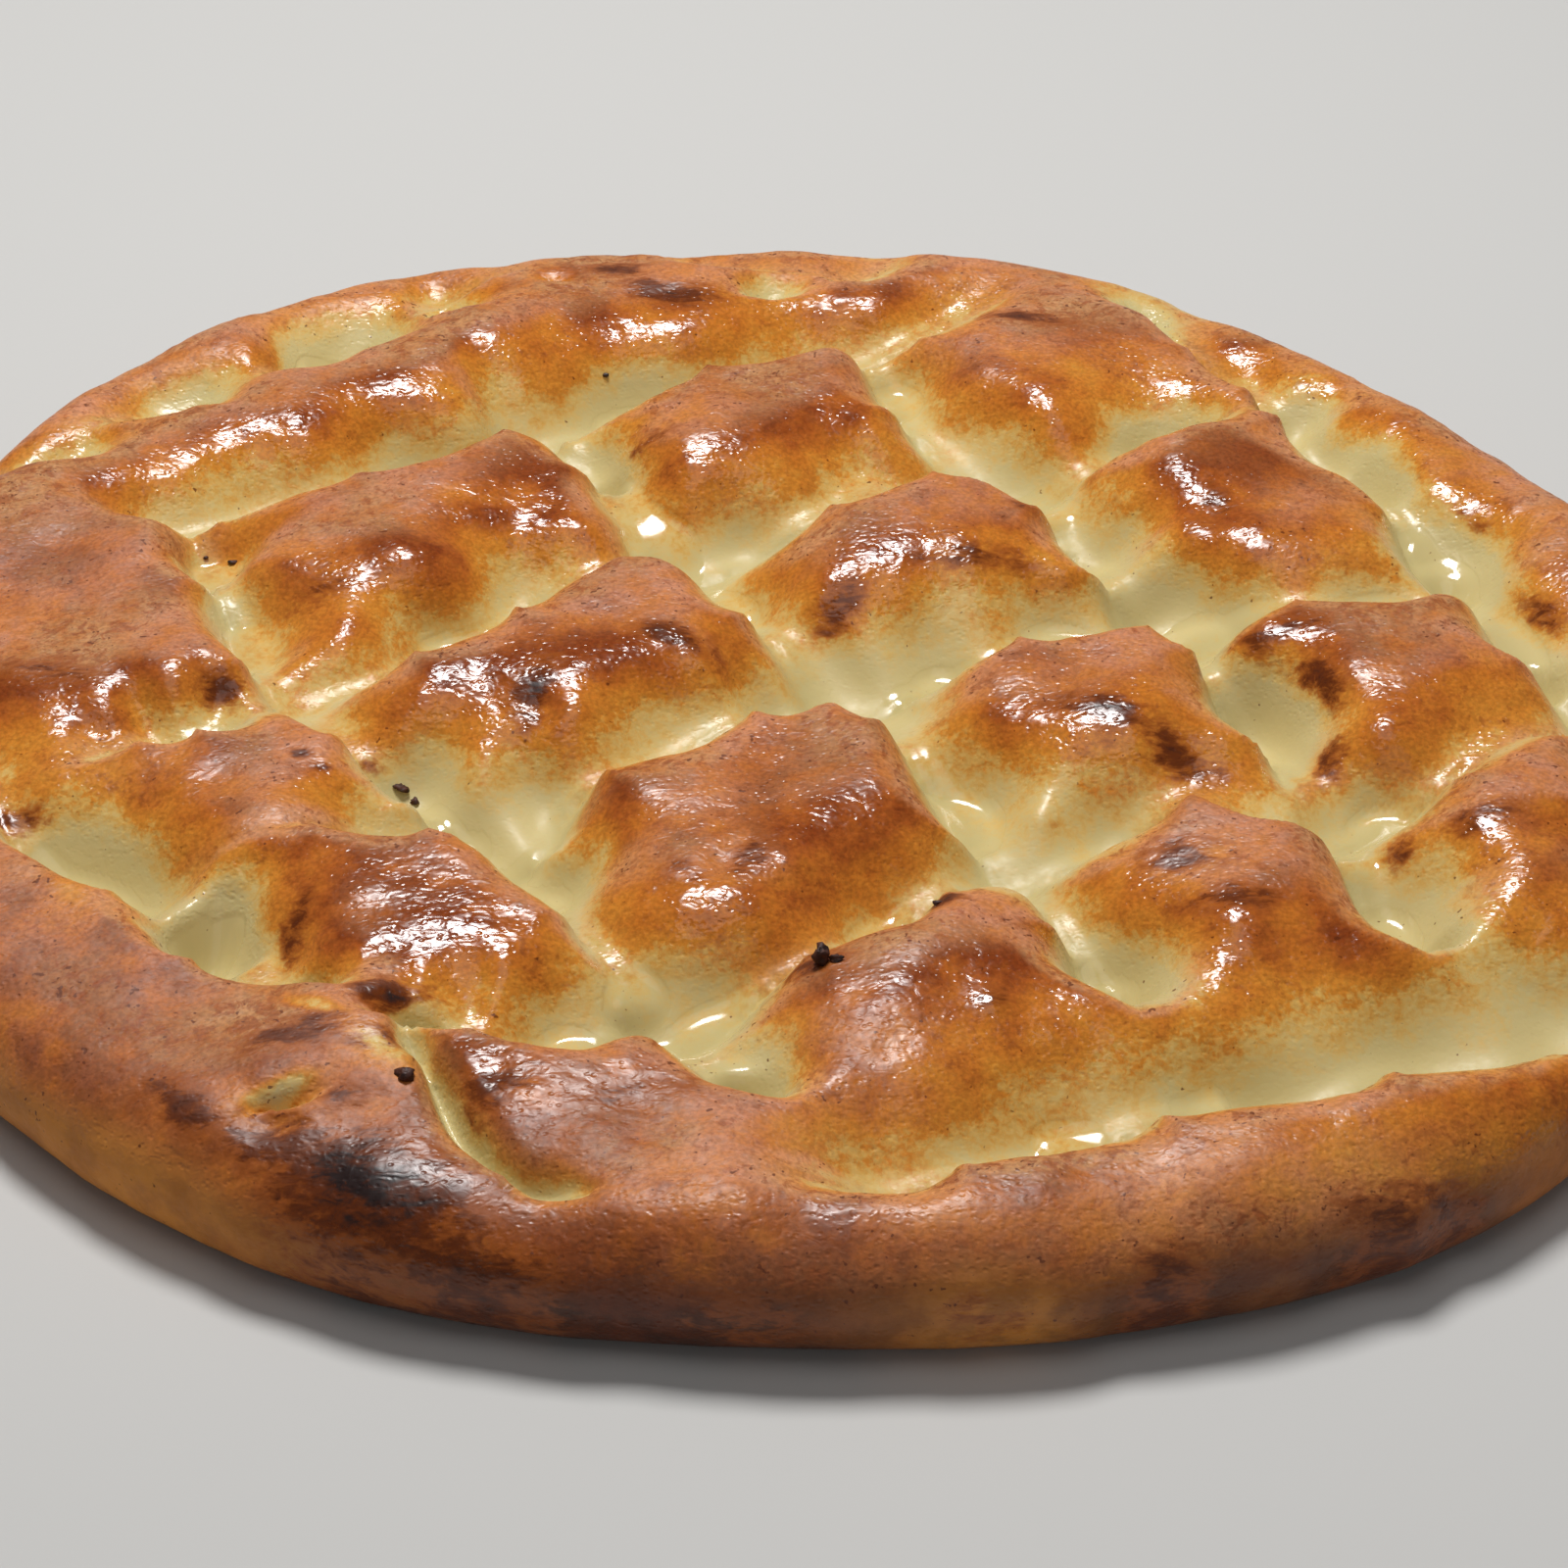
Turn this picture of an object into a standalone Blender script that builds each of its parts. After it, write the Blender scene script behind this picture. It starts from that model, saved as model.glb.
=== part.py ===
"""A round Turkish pide: one flat loaf with a full round rim, a flat base, and rows of finger presses
that divide its top into pillows. Lengths are in millimetres here and become metres in the mesh. The
axes are +X to the loaf's right, +Y to its back and +Z up, and the origin is under its middle."""

import math

import bmesh
import bpy
import numpy as np

MM = 0.001
FULL_TURN = 360
NAME = "pide_bread"

CRUST_COLOR = 0.45, 0.17, 0.04, 1
CRUST_ROUGHNESS = 0.35

# Heights above the base
PILLOW_TOP = 28.0
RIM_TOP = 23.5
VALLEY_FLOOR = 8.0
WIDEST_LEVEL = 10.5

# The rim's section: how far its crest and its foot stand in from its widest line
CREST_INSET = 13.0
FOOT_INSET = 7.0
DOMING_REACH = 70.0

# A press is narrow where it is shallow and wide where it is deep. The fingers pushed towards one
# side, so a press is steep on that side and runs out gently on the other.
PRESS_WIDTH = 6.0
DEEP_PRESS_EXTRA = 4.0
PRESS_FALL = 1.5
PRESS_CONTRAST = 1.5
PUSH_X, PUSH_Y = -0.34, -0.94
PUSH_SHARE = 0.45
NEAREST_FAVOUR = 8

# How far the hand-shaped surface strays, and over what wavelength
SURFACE_STRAY, SURFACE_WAVE = 0.9, 46.0
LINE_STRAY, LINE_WAVE = 1.3, 28.0
WAVE_COUNT = 7
WAVE_SPREAD = 0.7, 1.6
SURFACE_SEED, LINE_SEED_X, LINE_SEED_Y = 5, 11, 12

# Mesh fineness, and the heading of its grid, which runs along the rows of presses
TOP_CELLS = 62
GRID_HEADING = math.radians(28)
CREST_STEPS = 4
FOOT_STEPS = 3
CURVE_STEPS = 6
ROW_STEP = 4.0

# The outline from above, as (direction in degrees from +X, radius)
OUTLINE = (
    (0, 159), (24, 154), (38, 149), (62, 149), (86, 147), (106, 148), (122, 158), (145, 163),
    (165, 163), (190, 159), (218, 154), (242, 149), (268, 144), (290, 150), (312, 160), (338, 164),
)

# The rows of finger presses. Each is its share of the usual width, the (x, y) course of the row, and
# how deep its evenly spaced presses are, one digit each: 0 is none and 9 reaches the valley floor.
DEEPEST = 9
PRESS_ROWS = {
    "back_left_edge": (
        0.80,
        ((-153, 51), (-128, 75), (-100, 92), (-68, 121), (-40, 135), (-8, 132), (32, 135)),
        "14363845204340",
    ),
    "back_right_edge": (
        1.00,
        ((57, 133), (82, 102), (99, 68), (115, 39), (129, 7), (138, -32), (130, -76), (118, -89)),
        "035578678777656679",
    ),
    "front_right_edge": (1.10, ((-2, -130), (25, -119), (62, -106), (118, -88)), "2788999"),
    "front_left_edge": (
        0.90,
        ((-150, 8), (-126, -37), (-104, -58), (-82, -79), (-66, -86)),
        "12456895952",
    ),
    "front_left_channel": (
        0.42,
        ((-62, -91), (-50, -106), (-48, -116), (-38, -125), (-25, -125)),
        "1588863",
    ),
    "thumb_mark": (0.60, ((-82, -116), (-68, -113)), "131"),
    "rising_1": (
        0.88,
        ((-128, 46), (-108, 47), (-62, 70), (-20, 95), (20, 107), (50, 130)),
        "17789998751",
    ),
    "rising_2": (
        1.00,
        ((-120, -28), (-92, -15), (-62, 9), (-40, 27), (-13, 39), (20, 58), (49, 64), (85, 82)),
        "25645788668876886771",
    ),
    "rising_3": (
        1.00,
        ((-104, -59), (-82, -47), (-52, -45), (-33, -29), (-4, -9), (25, 6), (60, 16), (119, 23)),
        "532589877788988897675",
    ),
    "rising_4": (
        1.00,
        ((-57, -90), (-35, -94), (-8, -83), (13, -66), (48, -43), (67, -34), (87, -41), (131, -15)),
        "4688876878886678644",
    ),
    "falling_1": (
        0.95,
        ((12, 104), (31, 73), (52, 45), (68, 11), (82, -21), (102, -75)),
        "378797979779857892",
    ),
    "falling_2": (
        0.95,
        ((-44, 83), (-32, 57), (-8, 21), (18, -11), (38, -51), (56, -91)),
        "47869886978986881",
    ),
    "falling_3": (
        0.95,
        ((-107, 47), (-95, 17), (-85, -6), (-58, -33), (-39, -55), (-28, -74), (-18, -92), (3, -111)),
        "37676568999758661",
    ),
}


def smooth_curve(points):
    """Points along a Catmull-Rom curve through the given ones, CURVE_STEPS to each span."""
    knots = np.array(points, float)
    knots = np.vstack((2 * knots[0] - knots[1], knots, 2 * knots[-1] - knots[-2]))
    t = np.arange(CURVE_STEPS)[:, None] / CURVE_STEPS
    spans = []
    for a, b, c, d in zip(knots, knots[1:], knots[2:], knots[3:]):
        spans.append(
            b + 0.5 * t * (c - a + t * (2 * a - 5 * b + 4 * c - d + t * (3 * (b - c) + d - a)))
        )
    spans.append(knots[-2][None])
    return np.vstack(spans)


def press_row(course, depths):
    """The course of a row in even steps, as (x, y, depth) points."""
    line = smooth_curve(course)
    run = np.append(0, np.hypot(*np.diff(line, axis=0).T).cumsum())
    presses = np.array([int(digit) for digit in depths]) / DEEPEST
    spacing = np.linspace(0, run[-1], len(presses))
    depth_run, depth = smooth_curve(np.stack((spacing, presses), 1)).T
    steps = np.linspace(0, run[-1], 1 + math.ceil(run[-1] / ROW_STEP))
    columns = [np.interp(steps, run, line[:, 0]), np.interp(steps, run, line[:, 1])]
    return np.stack((*columns, np.interp(steps, depth_run, depth)), 1)


def outline_radius(direction):
    """The loaf's radius in each direction, in radians."""
    before = [(angle - FULL_TURN, radius) for angle, radius in OUTLINE[-2:]]
    after = [(angle + FULL_TURN, radius) for angle, radius in OUTLINE[:2]]
    curve = smooth_curve([*before, *OUTLINE, *after])
    return np.interp(np.degrees(direction) % FULL_TURN, curve[:, 0], curve[:, 1])


def waves(x, y, length, seed):
    """Smooth unevenness of about -1 to 1: a sum of sine waves in seeded directions."""
    draw = np.random.default_rng(seed)
    total = 0
    for _ in range(WAVE_COUNT):
        heading, phase = draw.uniform(0, 2 * math.pi, 2)
        rate = 2 * math.pi / (length * draw.uniform(*WAVE_SPREAD))
        total = total + np.sin(rate * (x * math.cos(heading) + y * math.sin(heading)) + phase)
    return total / math.sqrt(WAVE_COUNT)


def row_distance(x, y, row):
    """Each point's distance to a row of presses, the row's depth where it is nearest, and how far
    the point lies on the side that the fingers pushed towards, from -1 to 1."""
    start, along = row[:-1], np.diff(row, axis=0)
    length_squared = (along[:, :2] ** 2).sum(1)
    away_x, away_y = x[:, None] - start[:, 0], y[:, None] - start[:, 1]
    share = np.clip((away_x * along[:, 0] + away_y * along[:, 1]) / length_squared, 0, 1)
    away_x, away_y = away_x - share * along[:, 0], away_y - share * along[:, 1]
    distance = np.maximum(np.hypot(away_x, away_y), MM)
    nearest = distance.min(1)
    weight = (nearest[:, None] / distance) ** NEAREST_FAVOUR
    weight /= weight.sum(1)[:, None]
    depth = ((start[:, 2] + share * along[:, 2]) * weight).sum(1)
    pushed = ((away_x * PUSH_X + away_y * PUSH_Y) / distance * weight).sum(1)
    return nearest, np.clip(depth, 0, 1), pushed


def openness(x, y):
    """1 on top of the pillows and 0 on the floor of a full press."""
    x = x + LINE_STRAY * waves(x, y, LINE_WAVE, LINE_SEED_X)
    y = y + LINE_STRAY * waves(x, y, LINE_WAVE, LINE_SEED_Y)
    total = np.ones(len(x))
    for width_share, course, depths in PRESS_ROWS.values():
        distance, depth, pushed = row_distance(x, y, press_row(course, depths))
        depth = depth**PRESS_CONTRAST
        width = width_share * (PRESS_WIDTH + DEEP_PRESS_EXTRA * depth) * (1 - PUSH_SHARE * pushed)
        total *= 1 - depth / (1 + (distance / width) ** 2) ** PRESS_FALL
    return total


def top_height(x, y):
    """Height of the upper surface over a point, before it rolls down at the rim."""
    edge_distance = outline_radius(np.arctan2(y, x)) - np.hypot(x, y)
    inward = np.clip(edge_distance / DOMING_REACH, 0, 1)
    full = RIM_TOP + (PILLOW_TOP - RIM_TOP) * np.sin(inward * math.pi / 2)
    full = full + SURFACE_STRAY * waves(x, y, SURFACE_WAVE, SURFACE_SEED)
    return VALLEY_FLOOR + (full - VALLEY_FLOOR) * openness(x, y)


def disc_from_square(u, v):
    """Takes a square of side 2 to a disc of radius 1, as (direction, share of the radius)."""
    x, y = u * np.sqrt(1 - v * v / 2), v * np.sqrt(1 - u * u / 2)
    return np.arctan2(y, x) + GRID_HEADING, np.hypot(x, y)


def rim_point(direction, angle):
    """A ring of the rim: angle runs from pi/2 at its crest through 0 at its widest to -pi/2 at its foot."""
    inset = (CREST_INSET if angle > 0 else FOOT_INSET) * (1 - math.cos(angle))
    radius = outline_radius(direction) - inset
    x, y = radius * np.cos(direction), radius * np.sin(direction)
    if angle > 0:
        z = WIDEST_LEVEL + (top_height(x, y) - WIDEST_LEVEL) * math.sin(angle)
    else:
        z = np.full(len(x), WIDEST_LEVEL * (1 + math.sin(angle)))
    return np.stack((x, y, z), 1)


def place(vertices, points):
    for vertex, point in zip(vertices, points * MM):
        vertex.co = point


def shape_top(bm):
    """Presses a flat square grid into the loaf's round upper surface."""
    flat = np.array([vertex.co[:2] for vertex in bm.verts])
    direction, share = disc_from_square(*flat.T)
    radius = share * (outline_radius(direction) - CREST_INSET)
    x, y = radius * np.cos(direction), radius * np.sin(direction)
    place(bm.verts, np.stack((x, y, top_height(x, y)), 1))


def roll_rim(bm):
    """Extrudes the grid's border ring by ring round the rim and down to the foot."""
    crest_angles = [math.pi / 2 * (1 - step / CREST_STEPS) for step in range(1, CREST_STEPS + 1)]
    foot_angles = [-math.pi / 2 * step / FOOT_STEPS for step in range(1, FOOT_STEPS + 1)]
    border = [edge for edge in bm.edges if edge.is_boundary]
    for angle in crest_angles + foot_angles:
        made = bmesh.ops.extrude_edge_only(bm, edges=border)["geom"]
        ring = [part for part in made if isinstance(part, bmesh.types.BMVert)]
        border = [part for part in made if isinstance(part, bmesh.types.BMEdge)]
        direction = np.array([math.atan2(vertex.co.y, vertex.co.x) for vertex in ring])
        place(ring, rim_point(direction, angle))
    bmesh.ops.holes_fill(bm, edges=border, sides=0)


def centre_on_base(bm):
    """Moves the loaf so that the origin is under the middle of its box."""
    co = np.array([vertex.co for vertex in bm.verts])
    middle = (co.min(0) + co.max(0)) / 2
    bmesh.ops.translate(bm, verts=bm.verts, vec=(-middle[0], -middle[1], 0))


def crust_material():
    material = bpy.data.materials.new("baked_crust")
    material.use_nodes = True
    shader = material.node_tree.nodes["Principled BSDF"]
    shader.inputs["Base Color"].default_value = CRUST_COLOR
    shader.inputs["Roughness"].default_value = CRUST_ROUGHNESS
    shader.inputs["Metallic"].default_value = 0
    return material


def make_loaf():
    bm = bmesh.new()
    bmesh.ops.create_grid(bm, x_segments=TOP_CELLS, y_segments=TOP_CELLS, size=1)
    shape_top(bm)
    roll_rim(bm)
    centre_on_base(bm)
    bmesh.ops.recalc_face_normals(bm, faces=bm.faces)
    cells = [face for face in bm.faces if len(face.verts) == 4]
    bmesh.ops.triangulate(bm, faces=cells, quad_method="SHORT_EDGE")
    mesh = bpy.data.meshes.new(NAME)
    bm.to_mesh(mesh)
    bm.free()
    mesh.shade_smooth()
    mesh.materials.append(crust_material())
    return bpy.data.objects.new(NAME, mesh)


def main():
    for old in list(bpy.data.objects):
        bpy.data.objects.remove(old)
    collection = bpy.data.collections.new(NAME)
    bpy.context.scene.collection.children.link(collection)
    collection.objects.link(make_loaf())


main()
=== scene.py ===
"""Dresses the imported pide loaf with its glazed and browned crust, burnt crumbs and a plain studio.
Shapes are worked out in millimetres and become metres in the meshes."""

import math

import bmesh
import bpy
import numpy as np
from bpy.props import FloatProperty, FloatVectorProperty, IntProperty, PointerProperty
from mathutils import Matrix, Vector, noise


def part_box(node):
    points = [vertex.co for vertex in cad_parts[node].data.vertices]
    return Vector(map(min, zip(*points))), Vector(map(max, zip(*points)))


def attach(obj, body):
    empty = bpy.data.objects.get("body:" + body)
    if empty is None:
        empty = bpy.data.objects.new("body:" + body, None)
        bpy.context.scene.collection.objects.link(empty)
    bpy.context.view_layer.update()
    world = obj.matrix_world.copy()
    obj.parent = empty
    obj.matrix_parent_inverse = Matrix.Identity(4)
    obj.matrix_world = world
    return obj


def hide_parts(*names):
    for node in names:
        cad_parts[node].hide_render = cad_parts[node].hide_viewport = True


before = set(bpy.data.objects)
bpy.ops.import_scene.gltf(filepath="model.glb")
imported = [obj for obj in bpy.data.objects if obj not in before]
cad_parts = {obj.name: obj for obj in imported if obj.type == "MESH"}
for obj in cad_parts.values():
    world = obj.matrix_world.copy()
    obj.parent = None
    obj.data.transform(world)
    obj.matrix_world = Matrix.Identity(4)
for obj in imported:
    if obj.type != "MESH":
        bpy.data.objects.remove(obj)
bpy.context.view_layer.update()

bl_info = {
    "name": "Pide Bakery",
    "version": (1, 0, 0),
    "blender": (4, 5, 0),
    "location": "View3D > Sidebar > Pide",
    "description": "Bakes a round pide loaf with finger presses, a glazed crust and burnt crumbs",
    "category": "Object",
}

MM = 0.001
FULL_TURN = 360
NODE = "pide_bread"

# The loaf's sections: how far the rim's crest and foot stand in from its widest line
WIDEST_LEVEL = 10.5
CREST_INSET = 13.0
FOOT_INSET = 7.0
DOMING_REACH = 70.0

# A press is narrow where it is shallow and wide where it is deep. The fingers pushed towards one
# side, so a press is steep on that side and runs out gently on the other. The nearest stretch of
# a row counts most.
PRESS_WIDTH = 6.0
DEEP_PRESS_EXTRA = 4.0
PRESS_FALL = 1.5
PRESS_CONTRAST = 1.5
PUSH_X, PUSH_Y = -0.34, -0.94
PUSH_SHARE = 0.45
GENTLE_SIDE = 0.3
NEAREST_FAVOUR = 8

# Two short rows were made with single fingertips, and lean less
EVEN_ROWS = "front_left_channel", "thumb_mark"
EVEN_PUSH = 0.25

# Low ridges part one finger's dent from the next: a row is narrower and shallower there. On its
# gentle side they fade into smooth waves.
RIDGE_WIDTH, DENT_WIDTH = 0.70, 1.06
RIDGE_DEPTH = 0.80
RIDGE_FADE, RIDGE_REACH = 15.0, 13.0
SCALLOP_ROUNDNESS, SCOOP_MEAN = 0.7, 0.6

# A press has a flat stretch on its gentle side, a sharp lip on its steep side, and a crease
FLOOR_WIDTH = 3.5
LIP_SHARPNESS = 0.13
CREASE_WIDTH = 3.2

# Pooled glaze: how much of the depth it fills, how softly it meets the dough, how near its level it
# shows, how far along the row it runs, and how open a press can be and still hold it
POOL_SHARE, POOL_SHORE = 0.13, 0.07
POOL_EDGE = 0.12, 0.02
POOL_END, POOL_FULL = 1.7, 0.7
POOL_OPENNESS = 0.62, 0.40

# Single dents lean less than the rows and join them softly. Even a shallow one stays pale.
DENT_PUSH, DENT_SHARPNESS, DENT_SHORE = 0.45, 0.10, 0.08
DENT_HEART = 0.4
BARE_POWER = 0.45

# How far the hand-shaped surface strays, and over what wavelength
SURFACE_STRAY, SURFACE_WAVE = 0.9, 46.0
LINE_STRAY, LINE_WAVE = 1.3, 28.0
WAVE_COUNT = 7
WAVE_SPREAD = 0.7, 1.6
SURFACE_SEED, LINE_SEED_X, LINE_SEED_Y = 5, 11, 12

# Mesh fineness, and the heading of its grid, which runs along the rows of presses
GRID_HEADING = math.radians(28)
CREST_STEPS = 10
FOOT_STEPS = 7
CURVE_STEPS = 6
ROW_STEP = 2.0
CHUNK = 8000

# The outline from above, as (direction in degrees from +X, radius)
OUTLINE = (
    (0, 159), (24, 154), (38, 149), (62, 149), (86, 147), (106, 148), (122, 158), (145, 163),
    (165, 163), (190, 159), (218, 154), (242, 149), (268, 144), (290, 150), (312, 160), (338, 164),
)

# The rows of finger presses, as (share of the usual width, depths of its evenly spaced presses,
# course through (x, y) places). A depth is one digit: 0 is none and 9 reaches the valley floor.
DEEPEST = 9
PRESS_ROWS = {
    "back_left_edge": (
        0.80, "14363845204340",
        ((-153, 51), (-128, 75), (-100, 92), (-68, 121), (-40, 135), (-8, 132), (32, 135)),
    ),
    "back_right_edge": (
        1.00, "035578678777656679",
        ((57, 133), (82, 102), (99, 68), (115, 39), (129, 7), (138, -32), (130, -76), (118, -89)),
    ),
    "front_right_edge": (1.10, "2788999", ((-2, -130), (25, -119), (62, -106), (118, -88))),
    "front_left_edge": (
        0.90, "12456895952",
        ((-150, 8), (-126, -37), (-104, -58), (-82, -79), (-66, -86)),
    ),
    "front_left_channel": (
        0.27, "3566653",
        ((-58, -94), (-51, -106), (-48, -116), (-39, -125), (-28, -129)),
    ),
    "thumb_mark": (0.60, "131", ((-82, -116), (-68, -113))),
    "rising_1": (
        0.88, "17789998751",
        ((-128, 46), (-108, 47), (-62, 70), (-20, 95), (20, 107), (50, 130)),
    ),
    "rising_2": (
        1.00, "25645788668876886771",
        ((-120, -28), (-92, -15), (-62, 9), (-40, 27), (-13, 39), (20, 58), (49, 64), (85, 82)),
    ),
    "rising_3": (
        1.00, "532589877788988897675",
        ((-104, -59), (-82, -47), (-52, -45), (-33, -29), (-4, -9), (25, 6), (60, 16), (119, 23)),
    ),
    "rising_4": (
        1.00, "4688876878886678644",
        ((-57, -90), (-35, -94), (-8, -83), (13, -66), (48, -43), (67, -34), (87, -41), (131, -15)),
    ),
    "falling_1": (
        0.95, "378797979779857892",
        ((12, 104), (31, 73), (52, 45), (68, 11), (82, -21), (102, -75)),
    ),
    "falling_2": (
        0.95, "47869886978986881",
        ((-44, 83), (-32, 57), (-8, 21), (18, -11), (38, -51), (56, -91)),
    ),
    "falling_3": (
        0.95, "37676568999758661",
        (
            (-107, 47), (-95, 17), (-85, -6), (-58, -33), (-39, -55), (-28, -74), (-18, -92),
            (3, -111),
        ),
    ),
}

# Where along each row, in millimetres, a low ridge parts one finger's dent from the next
RIDGES = {
    "back_left_edge": (28, 66, 103, 123, 150, 187),
    "back_right_edge": (37, 56, 68, 99, 127, 152, 174, 196, 218),
    "front_right_edge": (30, 62, 96),
    "front_left_edge": (22, 47, 84, 106, 126),
    "front_left_channel": (12, 36),
    "rising_1": (25, 51, 80, 95, 124, 166),
    "rising_2": (12, 23, 41, 62, 84, 106, 126, 149, 171, 199),
    "rising_3": (14, 32, 50, 68, 83, 110, 126, 141, 163, 184, 213),
    "rising_4": (12, 36, 63, 91, 113, 141, 166, 189),
    "falling_1": (25, 45, 70, 86, 101, 118, 143, 168),
    "falling_2": (26, 53, 81, 102, 122, 146, 176),
    "falling_3": (27, 52, 78, 95, 111, 138, 159),
}

# Single dents, as (x, y, half length, half width, turn in degrees, depth share)
DENTS = (
    (-136, 64, 15, 5, 30, 0.45), (-114, 84, 16, 7, 32, 0.55), (-87, 105, 14, 9, 38, 0.85),
    (-66, 115, 10, 4, 15, 0.35), (-46, 124, 6, 4, 0, 0.16), (-4, 122, 9, 6, 25, 0.40),
    (14, 129, 8, 4, 10, 0.28), (-34, 62, 11, 7, -55, 0.90),
    (71, 114, 13, 6, -55, 0.45), (95, 80, 9, 7, -70, 0.75),
    (105, 60, 14, 10, -55, 0.85), (119, 33, 16, 9, -52, 0.95), (130, 1, 13, 8, -65, 0.95),
    (68, 75, 12, 9, 5, 0.80), (-111, -51, 14, 9, -44, 0.90), (-91, -69, 9, 8, -30, 0.95),
    (-74, -83, 8, 5, -25, 0.60), (-97, -20, 9, 6, 15, 0.45), (-56, -93, 9, 5, 5, 0.62),
    (-6, -104, 9, 7, -35, 0.80), (-74.5, -110, 6.5, 1.8, 25, 0.36), (52, -79, 11, 8, -60, 0.95),
    (80, -12, 14, 8, -60, 0.90), (71, 6, 9, 5, -30, 0.50), (101, -68, 9, 8, -45, 0.90),
)

# Where along each row, in millimetres, glaze has pooled in the crease, as (middle, half length)
POOLS = {
    "back_left_edge": ((90, 8),),
    "back_right_edge": ((112, 10), (140, 8), (190, 8)),
    "front_left_edge": ((70, 10), (114, 7), (95, 4)),
    "front_left_channel": ((30, 16),),
    "rising_1": ((110, 5), (145, 6)),
    "rising_2": ((74, 10), (20, 5), (183, 11), (120, 5), (160, 4)),
    "rising_3": ((60, 7), (149, 8), (172, 10), (201, 12), (228, 8)),
    "rising_4": ((22, 9), (47, 9), (82, 5), (178, 6)),
    "falling_1": ((58, 6), (15, 4), (165, 8), (186, 5), (110, 3)),
    "falling_2": ((38, 12), (64, 6), (133, 9), (184, 5)),
    "falling_3": ((18, 7), (40, 6), (96, 5), (118, 9), (150, 6), (173, 9)),
    "front_right_edge": ((50, 5), (72, 4)),
}

# Scorched places, as (x, y, half length, half width, turn in degrees, strength)
SCORCHES = (
    (-88, -112, 10, 4, -40, 0.60), (-76, -120, 9, 4, -32, 0.66),
    (-60, -127, 17, 8, -25, 1.00), (-44, -139, 14, 5, -22, 0.64), (-33, -147, 12, 5, -10, 0.50),
    (-12, -148, 14, 4, 5, 0.70), (-59, -88, 6, 3, 5, 0.85), (-76, -69, 3, 8, -25, 0.60),
    (-73, -100, 10, 4, 10, 0.62), (-64, -112, 5, 3, 0, 0.50), (-42, -11, 4, 7, -25, 0.80),
    (-20, 2, 9, 3, -15, 0.66), (32, 28, 13, 3, 5, 0.52), (10, 19, 4, 7, -20, 0.48),
    (53, -18, 9, 4, -18, 0.72), (65, -24, 8, 4, -25, 0.66), (42, -34, 4, 6, 0, 0.66),
    (77, 46, 4, 4, -40, 0.60), (75, 39, 5, 3, -30, 0.42), (85, 6, 9, 3, 15, 0.60),
    (91, -6, 3, 8, 25, 0.56), (91, -22, 3, 6, -15, 0.46), (64, -56, 8, 4, -10, 0.56),
    (70, -68, 9, 4, -5, 0.54), (-5, -57, 3, 7, -20, 0.48), (-15, -60, 3, 5, 30, 0.42),
    (46, 108, 12, 3, -10, 0.56), (-21, 119, 10, 4, -12, 0.72), (-32, 127, 8, 3, 0, 0.60),
    (-79, 20, 8, 3, 20, 0.46), (-124, -7, 9, 4, -15, 0.56), (-94, -9, 5, 4, -50, 0.60),
    (-123, -38, 9, 2.5, -10, 0.56), (97, 88, 4, 2, 5, 0.66), (32, -91, 3.5, 2.5, 20, 0.60),
    (90, -129, 10, 5, 10, 0.50), (98, -124, 6, 3, 20, 0.50), (-41, -109, 9, 5, 15, 0.66),
    (-22, -111, 14, 4, 5, 0.46), (55, -139, 6, 3, 8, 0.62), (30, -146, 8, 3, 0, 0.45),
    (124, 45, 6, 3, -60, 0.50), (132, 20, 6, 3, -60, 0.46), (99, -48, 3, 6, -10, 0.42),
    (24, -68, 4, 2, -10, 0.90), (-65, -23, 6, 2, -15, 0.80), (6, -82, 6, 2.5, 0, 0.66),
    (113, -45, 8, 3, 15, 0.52), (84, 0, 5, 2.5, -20, 0.50), (-26, 67, 8, 2.5, 10, 0.42),
    (-79, -30, 2, 1.2, 0, 0.80), (-75, -33, 2, 1.2, 0, 0.70), (43, 43, 8, 2, -5, 0.40),
    (-61, -101, 7, 2.5, 0, 0.50),
)

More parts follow.
